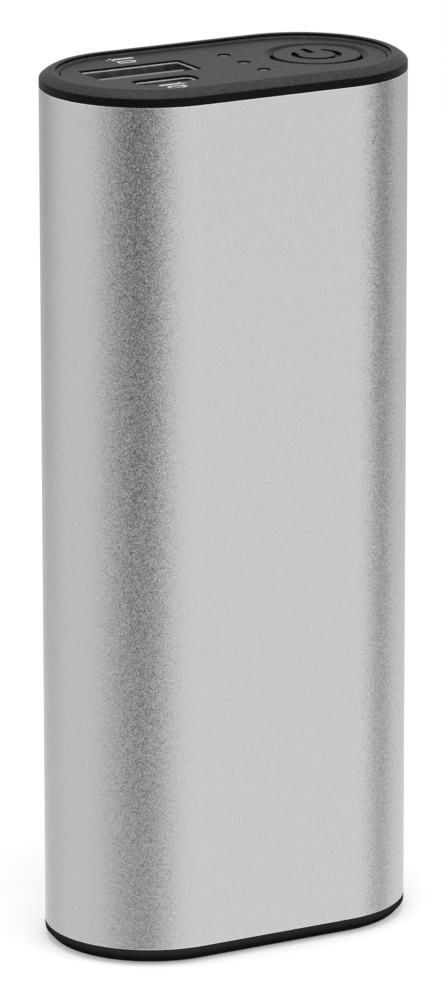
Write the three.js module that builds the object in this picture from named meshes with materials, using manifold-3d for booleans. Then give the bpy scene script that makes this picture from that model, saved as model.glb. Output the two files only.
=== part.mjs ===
// Rechargeable hand warmer: two cells in an aluminium sleeve between two moulded caps.
// Millimetres, +Z up. The origin is the centre of the base, the broad front faces -Y,
// the sockets are near the -X end and the button is near the +X end.

import * as THREE from 'three';
import { mergeVertices } from 'three/addons/utils/BufferGeometryUtils.js';
import Module from 'manifold-3d';

const wasm = await Module();
wasm.setup();

// Sleeve: a flat-sided tube with round ends
const bodyWidth = 45.1;
const bodyDepth = 25.2;
const sleeveLength = 100.3;
const sleeveWall = 1.2;
const sleeveChamfer = 0.15;

// Both caps: a skirt plugs into the sleeve and a pocket holds a stuck-on inlay
const skirtDepth = 6;
const skirtWall = 1.2;
const skirtGap = 0.15;
const skirtLead = 0.3;
const pocketInset = 2.35;
const inlayGap = 0.08;

// Top cap
const rimBand = 1.0;
const rimRise = 1.83;
const crestInset = 1.2;
const slopeBulge = 0.06;
const rimInnerInset = 1.9;
const rimRound = 0.16;
const faceDrop = 0.49;
const ledgeRise = 0.17;
const capFloor = 1.5;
const capBossRadius = 2.4;
const capBossDepth = 2.0;

// Face plate in the top cap
const plateThickness = 0.8;
const plateChamfer = 0.1;

// Bottom cap and its pad
const lipDrop = 1.67;
const lipInset = 0.84;
const lipBand = 0.75;
const lipRound = 0.22;
const baseFloor = 2.0;
const padThickness = 0.9;
const padProud = 0.2;
const padChamfer = 0.2;

// Power button and the well round it
const buttonPlaceShare = 0.27206;
const buttonRadiusShare = 0.1131;
const buttonGap = 0.3;
const buttonSink = 0.05;
const buttonChamfer = 0.15;
const buttonTravel = 0.4;
const flangeOverhang = 0.9;
const flangeThickness = 1.0;
const flangeGap = 0.15;
const wellWidth = 0.55;
const wellDepth = 0.45;
const stemRadius = 1.6;
const stemLength = 0.6;
const symbolRadius = 2.55;
const symbolStroke = 0.8;
const symbolDepth = 0.35;
const symbolBar = 2.5;

// Push switch under the button
const switchSize = 6.0;
const switchBodyHeight = 3.4;
const switchCoverThickness = 0.25;
const switchHeight = 5.0;
const plungerRadius = 1.75;
const plungerGap = 0.2;

// Wide output socket
const usbPlaceShare = 0.22062;
const usbY = 2.05;
const usbWidth = 13.0;
const usbDepth = 5.5;
const usbLength = 13.9;
const usbWall = 0.25;
const usbSink = 0.22;
const usbBase = 4.1;
const usbTongueSideRoom = 0.95;
const usbTongueDepth = 1.84;
const usbTongueOffset = 0.6;
const usbTongueSink = 0.25;
const usbContactWidthShare = 0.09;
const usbContactDepth = 0.2;
const usbContactPlaceShares = [-0.315, -0.09, 0.09, 0.315];

// Small charging socket
const microPlaceShare = 0.2235;
const microY = -4.3;
const microWidth = 7.5;
const microDepth = 2.5;
const microLength = 5.5;
const microWall = 0.25;
const microCorner = 0.8;
const microSink = 0.25;
const microBase = 2.0;
const microTongueSideRoom = 1.8;
const microTongueDepth = 0.6;
const microTongueSink = 0.4;
const microContactWidthShare = 0.0923;
const microContactDepth = 0.12;
const microContactPitchShare = 0.1667;
const microContactCount = 5;

// Clearance of the sockets in the cap's floor and in the plate
const socketGap = 0.2;
const plateSocketGap = 0.14;
const microPlateGap = 0.26;

// Sockets' soldering tabs
const tabWidth = 1.2;
const tabHeight = 1.6;
const tabReachShare = 0.38;

// Indicator lights
const ledPlaceShare = 0.05765;
const ledScrewRoom = 3.2;
const ledHoleRadius = 0.8;
const lightGap = 0.1;
const lightSink = 0.12;
const lightDome = 0.15;
const lightBridge = 1.2;
const lightBridgeWidth = 1.7;
const ledLength = 2.0;
const ledWidth = 1.25;
const ledHeight = 0.8;
const ledAirGap = 0.3;

// Circuit boards
const boardThickness = 1.6;
const boardY = -1.9;
const boardHeight = 27.11;
const boardTopGap = 0.3;
const boardFootGap = 0.3;
const boardStep = 0.3;
const buttonBoardThickness = 1.2;
const buttonBoardLeft = 1.0;
const buttonBoardGap = 0.3;

// Parts on the main board, placed by their centres across and up from the board's foot
const inductorSize = 7.0;
const inductorHeight = 4.2;
const inductorCorner = 1.4;
const inductorRise = 8.0;
const chipLength = 5.0;
const chipWidth = 4.0;
const chipHeight = 1.5;
const chargerRise = 17.0;
const boostPlaceShare = 0.19956;
const boostRise = 13.0;
const transistorLength = 6.5;
const transistorWidth = 6.1;
const transistorHeight = 2.3;
const transistorPlaceShare = 0.23282;
const transistorRise = 7.0;
const capacitorRadius = 2.5;
const capacitorHeight = 5.4;
const capacitorRise = 7.0;
const capacitorCount = 2;
const capacitorPitchShare = 0.14412;
const capacitorRailRoom = 0.7;
const partSeat = 0.05;

// Cells and what joins them
const cellGap = 0.15;
const cellShoulder = 0.8;
const cellGrooveDepth = 0.5;
const cellGrooveWidth = 0.9;
const cellGrooveDrop = 3.4;
const terminalRadiusShare = 0.435;
const terminalHeight = 0.8;
const ringInnerShare = 0.467;
const ringOuterShare = 0.848;
const ringThickness = 0.3;
const stripOverlap = 7.2;
const stripWidth = 5.0;
const stripThickness = 0.2;
const stripTabWidth = 2.4;
const stripTabLap = 0.6;

// Tray: two moulded halves round the cells
const trayGap = 0.15;
const trayFloor = 2.2;
const trayRoof = 2.0;
const trayHeadroom = 0.8;
const sideWall = 1.1;
const boreWall = 0.55;
const cellWeb = 0.1;
const slotBite = 1.55;
const slotScrewRoom = 1.5;
const windowInnerShare = 0.45;
const windowOuterShare = 0.65;
const windowFloorShare = 0.75;
const windowCount = 4;
const ribHeight = 4.0;
const railWidth = 2.2;
const railDepth = 4.3;
const railBack = 0.1;
const railEndRoom = 1.45;
const railBite = 0.8;
const grooveGap = 0.1;
const railSocketGap = 0.3;

// Screws, one front and one rear in each cap
const screwEdgeRoom = 4.75;
const screwLength = 8.0;
const screwShank = 0.8;
const screwHeadRadius = 1.75;
const screwHeadHeight = 1.2;
const screwHeadSink = 0.1;
const screwHeadGap = 0.2;
const screwHoleGap = 0.3;
const screwSeat = 0.02;
const pilotGap = 0.05;
const crossLength = 1.9;
const crossWidth = 0.4;
const crossDepth = 0.6;
const postRadius = 2.0;
const postGap = 0.3;

// Heaters and their foam
const filmEdgeGap = 0.25;
const filmHeadroom = 2.13;
const filmThickness = 0.25;
const filmGap = 0.5;
const foamEdgeGap = 0.5;
const foamGap = 0.1;
const foamLift = 1.0;
const foamHeadroom = 6.0;

// Leads and the temperature sensor
const leadRadius = 0.7;
const leadSeat = 0.05;
const leadEnd = 5.0;
const leadBend = 3.0;
const negativeLeadEnd = 8.0;
const positiveLeadEnd = 6.5;
const heaterLeadPlaceShare = 0.102;
const heaterLeadRadius = 0.5;
const heaterLeadOverlap = 3.0;
const heaterLeadRise = 7.5;
const heaterLeadEnd = 2.5;
const sensorRadiusShare = 0.1087;
const sensorLength = 3.0;
const sensorSlotGap = 0.1;
const sensorLeadRadius = 0.45;
const sensorLeadX = 2.4;
const sensorLeadRise = 5.0;

// One overrun serves every cut
const overrun = 1.0;

// Facets
const bodySteps = 18;
const roundSteps = 40;
const cellSteps = 32;
const smallSteps = 16;
const cornerSteps = 5;
const leadSides = 4;
const leadSteps = 20;

// Places and heights worked out from the sizes above
const flatHalf = (bodyWidth - bodyDepth) / 2;
const bottomSeam = padProud + lipDrop;
const topSeam = bottomSeam + sleeveLength;
const crestZ = topSeam + rimRise;
const faceZ = crestZ - faceDrop;
const pocketZ = faceZ - plateThickness;
const capUnder = pocketZ - capFloor;
const postTop = capUnder - capBossDepth;
const boardTop = capUnder - boardTopGap;
const boardFoot = boardTop - boardHeight;
const trayTop = boardFoot - boardFootGap;
const trayZ = padThickness + baseFloor;
const cellZ = trayZ + trayFloor + stripThickness;
const cellTop = trayTop - trayRoof - trayHeadroom - stripThickness;
const cellCanLength = cellTop - terminalHeight - cellZ;
const buttonTop = faceZ - buttonSink;
const flangeTop = capUnder - flangeGap;
const stemBottom = flangeTop - flangeThickness - stemLength;
const buttonBoardTop = stemBottom - switchHeight;
const buttonBoardZ = buttonBoardTop - buttonBoardThickness;
const skirtInset = sleeveWall + skirtGap;
const skirtInner = skirtInset + skirtWall;
const trayInset = skirtInner + trayGap;
const trayHalfDepth = bodyDepth / 2 - trayInset;
const trayHalfWidth = bodyWidth / 2 - trayInset;
const boreRadius = Math.min(trayHalfDepth - boreWall, (trayHalfWidth - sideWall - cellWeb / 2) / 2);
const cellRadius = boreRadius - cellGap;
const cellSpacing = 2 * boreRadius + cellWeb;
const slotHalfWidth = cellWeb / 2 + slotBite;
const railOuter = trayHalfWidth - railEndRoom;
const boardHalfWidth = railOuter - railBite;
const boardFront = boardY - boardThickness / 2;
const boardRear = boardY + boardThickness / 2;
const negativeLeadY = boardFront - leadRadius - leadSeat;
const screwY = bodyDepth / 2 - screwEdgeRoom;
const slotHalfDepth = screwY - slotScrewRoom;
const sensorRadius = sensorRadiusShare * cellRadius;
const sensorY = slotHalfDepth - sensorRadius - sensorSlotGap;
const sensorZ = cellZ + (cellCanLength - sensorLength) / 2;
const buttonX = buttonPlaceShare * bodyWidth;
const buttonRadius = buttonRadiusShare * bodyWidth;
const usbX = -usbPlaceShare * bodyWidth;
const microX = -microPlaceShare * bodyWidth;
const ledX = ledPlaceShare * bodyWidth;
const ledPitch = screwY - ledScrewRoom;
const usbFoot = faceZ - usbSink - usbLength;
const usbTongueWidth = usbWidth - 2 * usbTongueSideRoom;
const microTongueWidth = microWidth - 2 * microTongueSideRoom;
const screwHoleRadius = screwShank + screwHoleGap;
const pilotRadius = screwShank + pilotGap;
const innerWallY = bodyDepth / 2 - sleeveWall;
const filmFoot = bottomSeam + skirtDepth + filmGap;
const filmLength = trayTop - filmHeadroom - filmFoot;
const filmWidth = 2 * (flatHalf - filmEdgeGap);

// Materials
function material(color, roughness, metalness) {
  return new THREE.MeshStandardMaterial({ color, roughness, metalness });
}
const anodised = () => material(0xc4c6c8, 0.42, 1.0);
const capPlastic = () => material(0x262627, 0.62, 0.0);
const platePlastic = () => material(0x3b3b3c, 0.66, 0.0);
const buttonPlastic = () => material(0x38383a, 0.6, 0.0);
const rubber = () => material(0x1c1c1d, 0.85, 0.0);
const steel = () => material(0xb8bbbe, 0.3, 1.0);
const socketPlastic = () => material(0x6a6a6c, 0.55, 0.0);
const gold = () => material(0xd8b460, 0.3, 1.0);
const clearPlastic = () => material(0xdfe3e6, 0.25, 0.0);
const circuitBoard = () => material(0x1f5a3a, 0.5, 0.0);
const chipPlastic = () => material(0x18181a, 0.5, 0.0);
const ferrite = () => material(0x4b4a4a, 0.7, 0.0);
const trayPlastic = () => material(0xd9d8d2, 0.6, 0.0);
const cellWrap = () => material(0x2f6fa8, 0.35, 0.0);
const insulatorPaper = () => material(0xe9e6dc, 0.85, 0.0);
const nickel = () => material(0xc9c6bd, 0.28, 1.0);
const heaterFilm = () => material(0xb9702a, 0.4, 0.0);
const foam = () => material(0x55585c, 0.95, 0.0);
const redLead = () => material(0xb3262a, 0.55, 0.0);
const blackLead = () => material(0x1b1b1c, 0.55, 0.0);
const whiteLead = () => material(0xe2e2df, 0.55, 0.0);
const sensorGlass = () => material(0x8c5a2c, 0.3, 0.0);

// Booleans: a closed mesh in, a closed mesh out
function toSolid(geometry) {
  const plain = geometry.clone();
  plain.deleteAttribute('normal');
  plain.deleteAttribute('uv');
  const merged = mergeVertices(plain);
  return new wasm.Manifold(new wasm.Mesh({
    numProp: 3,
    vertProperties: new Float32Array(merged.attributes.position.array),
    triVerts: new Uint32Array(merged.index.array),
  }));
}

function toGeometry(solid) {
  const mesh = solid.getMesh();
  const geometry = new THREE.BufferGeometry();
  geometry.setAttribute('position', new THREE.BufferAttribute(new Float32Array(mesh.vertProperties), 3));
  geometry.setIndex(new THREE.BufferAttribute(new Uint32Array(mesh.triVerts), 1));
  const flat = geometry.toNonIndexed();
  flat.computeVertexNormals();
  return flat;
}

function join(...geometries) {
  return toGeometry(geometries.map(toSolid).reduce((whole, next) => whole.add(next)));
}

function cut(geometry, ...cutters) {
  return toGeometry(cutters.map(toSolid).reduce((whole, next) => whole.subtract(next), toSolid(geometry)));
}

function common(a, b) {
  return toGeometry(toSolid(a).intersect(toSolid(b)));
}

// A block whose lower face is centred on x, y, z
function block(width, depth, height, x = 0, y = 0, z = 0) {
  return new THREE.BoxGeometry(width, depth, height).translate(x, y, z + height / 2);
}

// A block between two corners
function span(low, high) {
  const size = high.map((value, i) => value - low[i]);
  return block(...size, (low[0] + high[0]) / 2, (low[1] + high[1]) / 2, low[2]);
}

// An upright rod whose lower face is centred on x, y, z
function rod(radius, height, x = 0, y = 0, z = 0, sides = smallSteps, topRadius = radius) {
  const geometry = new THREE.CylinderGeometry(topRadius, radius, height, sides);
  return geometry.rotateX(Math.PI / 2).translate(x, y, z + height / 2);
}

// A turned piece about +Z from [radius, height] points
function turned(points, sides) {
  const profile = points.map(([r, z]) => new THREE.Vector2(r, z));
  return new THREE.LatheGeometry(profile, sides).rotateX(Math.PI / 2);
}

// The body's outline, drawn in by an inset
function outline(inset) {
  const radius = bodyDepth / 2 - inset;
  const points = [];
  for (const side of [1, -1]) {
    for (let i = 0; i <= bodySteps; i += 1) {
      const angle = Math.PI / 2 * (2 * i / bodySteps - 1);
      points.push([side * (flatHalf + radius * Math.cos(angle)), side * radius * Math.sin(angle)]);
    }
  }
  return points;
}

// Triangles between one outline and the next
function skin(rings, closed) {
  const count = rings[0].length;
  const index = [];
  const bands = closed ? rings.length : rings.length - 1;
  for (let band = 0; band < bands; band += 1) {
    const low = band * count;
    const high = ((band + 1) % rings.length) * count;
    for (let i = 0; i < count; i += 1) {
      const next = (i + 1) % count;
      index.push(low + i, low + next, high + next, low + i, high + next, high + i);
    }
  }
  return index;
}

function ringMesh(profile, closed) {
  const rings = profile.map(([inset, z]) => outline(inset).map(([x, y]) => [x, y, z]));
  const index = skin(rings, closed);
  const count = rings[0].length;
  const last = (rings.length - 1) * count;
  if (!closed) {
    for (let i = 1; i < count - 1; i += 1) {
      index.push(0, i + 1, i, last, last + i, last + i + 1);
    }
  }
  const geometry = new THREE.BufferGeometry();
  geometry.setAttribute('position', new THREE.Float32BufferAttribute(rings.flat(2), 3));
  geometry.setIndex(index);
  return geometry;
}

// A solid whose outline follows the body, from [inset, height] points going up
const bodySolid = (profile) => ringMesh(profile, false);

// A tube whose section is the closed run of [inset, height] points
const bodyTube = (profile) => ringMesh(profile, true);

// A flat outline pushed up from z by a height
function prism(shape, height, z = 0, curveSegments = cornerSteps) {
  const settings = { depth: height, bevelEnabled: false, curveSegments };
  return new THREE.ExtrudeGeometry(shape, settings).translate(0, 0, z);
}

// A rectangle centred on x, y with rounded corners
function softRectangle(width, depth, x, y, corner) {
  const reach = [width / 2 - corner, depth / 2 - corner];
  const shape = new THREE.Shape();
  for (const [turn, side, end] of [[0, 1, 1], [1, -1, 1], [2, -1, -1], [3, 1, -1]]) {
    const start = turn * Math.PI / 2;
    shape.absarc(x + side * reach[0], y + end * reach[1], corner, start, start + Math.PI / 2, false);
  }
  return shape;
}

// Straight runs between points, with each corner rounded off over a bend length
function route(points, bend) {
  const corners = points.map((p) => new THREE.Vector3(...p));
  const path = new THREE.CurvePath();
  let start = corners[0];
  for (let i = 1; i < corners.length - 1; i += 1) {
    const into = corners[i].clone().sub(corners[i - 1]).setLength(bend);
    const out = corners[i + 1].clone().sub(corners[i]).setLength(bend);
    const before = corners[i].clone().sub(into);
    const after = corners[i].clone().add(out);
    path.add(new THREE.LineCurve3(start, before));
    path.add(new THREE.QuadraticBezierCurve3(before, corners[i], after));
    start = after;
  }
  path.add(new THREE.LineCurve3(start, corners[corners.length - 1]));
  return path;
}

// A round wire along a route
function wire(points, radius, bend, steps) {
  const section = new THREE.Shape();
  section.absarc(0, 0, radius, 0, 2 * Math.PI);
  return new THREE.ExtrudeGeometry(section, {
    steps,
    extrudePath: route(points, bend),
    curveSegments: leadSides,
  });
}

// Sleeve
function sleeveGeometry() {
  const top = sleeveLength;
  return bodyTube([
    [sleeveChamfer, 0],
    [0, sleeveChamfer],
    [0, top - sleeveChamfer],
    [sleeveChamfer, top],
    [sleeveWall, top],
    [sleeveWall, 0],
  ]);
}

// Top cap, with z measured from the sleeve's end
function topCapProfile() {
  const face = rimRise - faceDrop;
  const slopeX = crestInset / 2 - slopeBulge;
  const slopeZ = (rimBand + rimRise) / 2 + slopeBulge;
  return [
    [skirtInset + skirtLead, -skirtDepth],
    [skirtInset, skirtLead - skirtDepth],
    [skirtInset, 0],
    [0, 0],
    [0, rimBand],
    [slopeX, slopeZ],
    [crestInset, rimRise],
    [rimInnerInset - rimRound, rimRise],
    [rimInnerInset, rimRise - rimRound],
    [rimInnerInset, face + ledgeRise],
    [pocketInset, face],
    [pocketInset, face - plateThickness],
  ];
}

// Openings shared by the cap's floor and the plate, at one height range
function socketCutter(width, depth, x, y, corner, gap, z, height) {
  return prism(softRectangle(width + 2 * gap, depth + 2 * gap, x, y, corner + gap), height, z);
}

function topCapGeometry() {
  const floorTop = pocketZ - topSeam;
  const floorUnder = capUnder - topSeam;
  const height = capFloor + 2 * overrun;
  const cutZ = floorUnder - overrun;
  const cavity = bodySolid([[skirtInner, -skirtDepth - overrun], [skirtInner, floorUnder]]);
  const bosses = [-1, 1].map((side) => rod(capBossRadius, capBossDepth + capFloor / 2, 0, side * screwY,
    floorUnder - capBossDepth));
  const hollow = cut(bodySolid(topCapProfile()), cavity);
  const holes = [-1, 0, 1].map((row) => rod(ledHoleRadius + lightGap, height, ledX, row * ledPitch, cutZ));
  for (const side of [-1, 1]) {
    const depth = screwHeadHeight + screwHeadSink;
    holes.push(rod(screwHoleRadius, height + capBossDepth, 0, side * screwY, cutZ - capBossDepth));
    holes.push(rod(screwHeadRadius + screwHeadGap, depth + overrun, 0, side * screwY, floorTop - depth));
  }
  return cut(
    join(hollow, ...bosses),
    socketCutter(usbWidth, usbDepth, usbX, usbY, usbWall, socketGap, cutZ, height),
    socketCutter(microWidth, microDepth, microX, microY, microCorner, socketGap, cutZ, height),
    rod(buttonRadius + 2 * buttonGap, height, buttonX, 0, cutZ, roundSteps),
    ...holes,
  );
}

// Face plate, with z measured from its underside
function facePlateGeometry() {
  const inset = pocketInset + inlayGap;
  const height = plateThickness + 2 * overrun;
  const blank = bodySolid([
    [inset, 0],
    [inset, plateThickness - plateChamfer],
    [inset + plateChamfer, plateThickness],
  ]);
  const holeRadius = buttonRadius + buttonGap;
  const slope = wellWidth / wellDepth;
  const wellZ = plateThickness - wellDepth;
  const wellTop = holeRadius + wellWidth + slope * overrun;
  return cut(
    blank,
    socketCutter(usbWidth, usbDepth, usbX, usbY, usbWall, plateSocketGap, -overrun, height),
    socketCutter(microWidth, microDepth, microX, microY, microCorner, microPlateGap, -overrun, height),
    rod(holeRadius, height, buttonX, 0, -overrun, roundSteps),
    rod(holeRadius, wellDepth + overrun, buttonX, 0, wellZ, roundSteps, wellTop),
    ...[-1, 0, 1].map((row) => rod(ledHoleRadius, height, ledX, row * ledPitch, -overrun)),
  );
}

// Power button, turned about its own axis with z measured from the stem's foot
function powerSymbol() {
  const inner = symbolRadius - symbolStroke / 2;
  const outer = symbolRadius + symbolStroke / 2;
  const open = Math.PI / 5;
  const start = Math.PI / 2 + open;
  const end = Math.PI / 2 - open + 2 * Math.PI;
  const ring = new THREE.Shape();
  ring.absarc(0, 0, outer, start, end, false);
  ring.absarc(0, 0, inner, end, start, true);
  return ring;
}

function powerButtonGeometry() {
  const top = buttonTop - stemBottom;
  const flange = stemLength + flangeThickness;
  const blank = turned([
    [0, 0],
    [stemRadius, 0],
    [stemRadius, stemLength],
    [buttonRadius + flangeOverhang, stemLength],
    [buttonRadius + flangeOverhang, flange],
    [buttonRadius, flange],
    [buttonRadius, top - buttonChamfer],
    [buttonRadius - buttonChamfer, top],
    [0, top],
  ], roundSteps);
  const floor = top - symbolDepth;
  const ring = prism(powerSymbol(), symbolDepth + overrun, floor, roundSteps / 2);
  const bar = block(symbolStroke, symbolBar, symbolDepth + overrun, 0, symbolRadius - symbolStroke / 2,
    floor);
  return cut(blank, ring, bar);
}

// Push switch, with z measured from the button board
function switchBodyGeometry() {
  const well = plungerRadius + plungerGap;
  const depth = buttonTravel + 2 * plungerGap;
  const body = block(switchSize, switchSize, switchBodyHeight);
  return cut(body, rod(well, depth + overrun, 0, 0, switchBodyHeight - depth));
}

function switchCoverGeometry() {
  const cover = block(switchSize, switchSize, switchCoverThickness);
  return cut(cover, rod(plungerRadius + plungerGap, switchCoverThickness + 2 * overrun, 0, 0, -overrun));
}

function plungerGeometry() {
  const foot = switchBodyHeight - plungerGap;
  return rod(plungerRadius, switchHeight - foot, 0, 0, foot);
}

// A steel socket shell: a rounded tube with two tabs that reach the board's face
function shellGeometry(width, depth, length, wall, corner, tabReach, side) {
  const outer = prism(softRectangle(width, depth, 0, 0, corner), length);
  const innerCorner = Math.max(corner - wall, wall / 2);
  const bore = softRectangle(width - 2 * wall, depth - 2 * wall, 0, 0, innerCorner);
  const tube = cut(outer, prism(bore, length + 2 * overrun, -overrun));
  const reach = tabReach + wall / 2;
  const tabs = [-1, 1].map((end) => block(tabWidth, reach, tabHeight, end * tabReachShare * width,
    side * (depth / 2 + tabReach - reach / 2), wall));
  return join(tube, ...tabs);
}

const usbShellGeometry = () => shellGeometry(usbWidth, usbDepth, usbLength, usbWall, usbWall,
  usbY - usbDepth / 2 - boardRear, -1);

const microShellGeometry = () => shellGeometry(microWidth, microDepth, microLength, microWall, microCorner,
  boardFront - microY - microDepth / 2, 1);

// A socket's insulator: a base that plugs the shell and a tongue towards its mouth
function tongueGeometry(width, depth, base, tongueWidth, tongueDepth, tongueY, height) {
  return join(
    block(width, depth, base),
    block(tongueWidth, tongueDepth, height - base / 2, 0, tongueY, base / 2),
  );
}

function usbTongueGeometry() {
  const inside = usbDepth - 2 * usbWall;
  const y = usbTongueOffset + usbTongueDepth / 2 - inside / 2;
  return tongueGeometry(usbWidth - 2 * usbWall - usbWall, inside - usbWall, usbBase, usbTongueWidth,
    usbTongueDepth, y, usbLength - usbTongueSink);
}

function microTongueGeometry() {
  const inside = microDepth - 2 * microWall;
  return tongueGeometry(microWidth - 2 * microCorner, inside - microWall, microBase, microTongueWidth,
    microTongueDepth, 0, microLength - microTongueSink);
}

function contactGeometry(width, depth, base, tongueTop) {
  return block(width, depth, (tongueTop - base) / 2, 0, 0, base);
}

// Light guide: three clear legs on one bridge that is glued under the cap's floor
function lightGuideGeometry() {
  const foot = buttonBoardTop + ledHeight + ledAirGap;
  const legTop = faceZ - lightSink - lightDome;
  const radius = ledHoleRadius - lightGap;
  const bridge = block(lightBridgeWidth, 2 * ledPitch + lightBridgeWidth, lightBridge, 0, 0,
    capUnder - lightBridge - foot);
  const legs = [-1, 0, 1].map((row) => rod(radius, legTop - foot, 0, row * ledPitch, 0, smallSteps));
  const domes = [-1, 0, 1].map((row) => rod(radius, lightDome, 0, row * ledPitch, legTop - foot, smallSteps,
    radius - lightDome));
  return join(bridge, ...legs, ...domes);
}

// Main board: upright, with a tall part behind the sockets and a low part under the button board
function mainBoardGeometry() {
  const tall = boardTop - boardFoot;
  const low = buttonBoardZ - boardFoot;
  const shape = new THREE.Shape();
  shape.moveTo(-boardHalfWidth, 0);
  shape.lineTo(boardHalfWidth, 0);
  shape.lineTo(boardHalfWidth, low);
  shape.lineTo(boardStep, low);
  shape.lineTo(boardStep, tall);
  shape.lineTo(-boardHalfWidth, tall);
  return prism(shape, boardThickness).rotateX(Math.PI / 2).translate(0, boardThickness / 2, 0);
}

// Button board: level, cut to the round end of the body and notched for the screw posts
function buttonBoardGeometry() {
  const inset = skirtInner + buttonBoardGap;
  const plate = bodySolid([[inset, 0], [inset, buttonBoardThickness]]);
  const right = span([buttonBoardLeft, -bodyDepth, -overrun],
    [bodyWidth, bodyDepth, buttonBoardThickness + overrun]);
  const notches = [-1, 1].map((side) => rod(postRadius + postGap, buttonBoardThickness + 2 * overrun, 0,
    side * screwY, -overrun));
  return cut(common(plate, right), ...notches);
}

// Chips lie flat against the board with their height along Y
const chipGeometry = () => block(chipLength, chipHeight, chipWidth, 0, 0, -chipWidth / 2);

const transistorGeometry = () => block(transistorLength, transistorHeight, transistorWidth, 0, 0,
  -transistorWidth / 2);

function inductorGeometry() {
  const shape = softRectangle(inductorSize, inductorSize, 0, 0, inductorCorner);
  return prism(shape, inductorHeight, -inductorHeight / 2).rotateX(Math.PI / 2);
}

const capacitorGeometry = () => rod(capacitorRadius, capacitorHeight, 0, 0, -capacitorHeight / 2)
  .rotateX(Math.PI / 2);

// Cell: a wrapped can with the crimped groove near its top
function cellGeometry() {
  const groove = cellCanLength - cellGrooveDrop;
  return turned([
    [0, 0],
    [cellRadius - cellShoulder, 0],
    [cellRadius, cellShoulder],
    [cellRadius, groove - cellGrooveWidth],
    [cellRadius - cellGrooveDepth, groove],
    [cellRadius, groove + cellGrooveWidth],
    [cellRadius, cellCanLength - cellShoulder],
    [cellRadius - cellShoulder, cellCanLength],
    [0, cellCanLength],
  ], cellSteps);
}

function terminalGeometry() {
  return rod(terminalRadiusShare * cellRadius, terminalHeight, 0, 0, 0, cellSteps);
}

function insulatorGeometry() {
  const inner = ringInnerShare * cellRadius;
  const outer = ringOuterShare * cellRadius;
  return turned([
    [inner, 0],
    [outer, 0],
    [outer, ringThickness],
    [inner, ringThickness],
    [inner, 0],
  ], cellSteps);
}

const topStripGeometry = () => block(cellSpacing + stripOverlap, stripWidth, stripThickness);

function bottomStripGeometry() {
  const reach = stripTabLap - negativeLeadY;
  return join(topStripGeometry(), block(stripTabWidth, reach, stripThickness, 0, -reach / 2));
}

// Tray halves, with z measured from the tray's foot; side is -1 at the front and 1 at the rear
function traySpaces(side) {
  const height = trayTop - trayZ;
  const boreTop = height - trayRoof;
  const bores = [-1, 1].map((end) => rod(boreRadius, boreTop - trayFloor, end * cellSpacing / 2, 0,
    trayFloor, cellSteps));
  const slot = span([-slotHalfWidth, -slotHalfDepth, trayFloor],
    [slotHalfWidth, slotHalfDepth, height + overrun]);
  const pitch = (boreTop - trayFloor - ribHeight) / windowCount;
  const inner = cellSpacing / 2 - windowInnerShare * boreRadius;
  const outer = cellSpacing / 2 + windowOuterShare * boreRadius;
  const floor = windowFloorShare * boreRadius;
  const windows = [];
  for (let i = 0; i < windowCount; i += 1) {
    for (const end of [-1, 1]) {
      const [x0, x1] = end > 0 ? [inner, outer] : [-outer, -inner];
      const [y0, y1] = side > 0 ? [floor, bodyDepth] : [-bodyDepth, -floor];
      const z = trayFloor + ribHeight + i * pitch;
      windows.push(span([x0, y0, z], [x1, y1, z + pitch - ribHeight]));
    }
  }
  const pilots = [
    rod(pilotRadius, screwLength + overrun, 0, side * screwY, -overrun),
    rod(pilotRadius, screwLength + overrun, 0, side * screwY, postTop - trayZ - screwLength),
  ];
  return [...bores, slot, ...windows, ...pilots];
}

function trayBlank(side) {
  const height = trayTop - trayZ;
  const blank = bodySolid([[trayInset, 0], [trayInset, height]]);
  const [y0, y1] = side > 0 ? [0, bodyDepth] : [-bodyDepth, 0];
  const half = common(blank, span([-bodyWidth, y0, -overrun], [bodyWidth, y1, height + overrun]));
  const post = rod(postRadius, postTop - trayZ - height / 2, 0, side * screwY, height / 2);
  return join(half, post);
}

// Upright rails on the front half grip both edges of the main board. The left one stops under the wide
// socket and the right one carries the button board
function boardRails() {
  const foot = trayTop - trayZ - trayRoof / 2;
  const low = [-railDepth - railBack, foot];
  return [
    span([-railOuter, ...low], [railWidth - railOuter, -railBack, usbFoot - railSocketGap - trayZ]),
    span([railOuter - railWidth, ...low], [railOuter, -railBack, buttonBoardZ - trayZ]),
  ];
}

function boardGroove() {
  const half = boardHalfWidth + grooveGap;
  const foot = boardFoot - grooveGap - trayZ;
  return span([-half, boardFront - grooveGap, foot],
    [half, boardRear + grooveGap, buttonBoardZ - trayZ + overrun]);
}

const trayRearGeometry = () => cut(trayBlank(1), ...traySpaces(1));

const trayFrontGeometry = () => cut(join(trayBlank(-1), ...boardRails()), ...traySpaces(-1), boardGroove());

// Bottom cap, with z measured from the surface it stands on
function bottomCapGeometry() {
  const blank = bodySolid([
    [pocketInset, padThickness],
    [pocketInset, padProud],
    [lipInset, padProud],
    [lipRound, bottomSeam - lipBand - lipRound],
    [0, bottomSeam - lipBand],
    [0, bottomSeam],
    [skirtInset, bottomSeam],
    [skirtInset, bottomSeam + skirtDepth - skirtLead],
    [skirtInset + skirtLead, bottomSeam + skirtDepth],
  ]);
  const cavity = bodySolid([[skirtInner, trayZ], [skirtInner, bottomSeam + skirtDepth + overrun]]);
  const holes = [];
  for (const side of [-1, 1]) {
    const depth = screwHeadHeight + screwHeadSink;
    const foot = padThickness - overrun;
    holes.push(rod(screwHoleRadius, baseFloor + 2 * overrun, 0, side * screwY, foot));
    holes.push(rod(screwHeadRadius + screwHeadGap, depth + overrun, 0, side * screwY, foot));
  }
  return cut(blank, cavity, ...holes);
}

function basePadGeometry() {
  const inset = pocketInset + inlayGap;
  return bodySolid([[inset + padChamfer, 0], [inset, padChamfer], [inset, padThickness]]);
}

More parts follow.
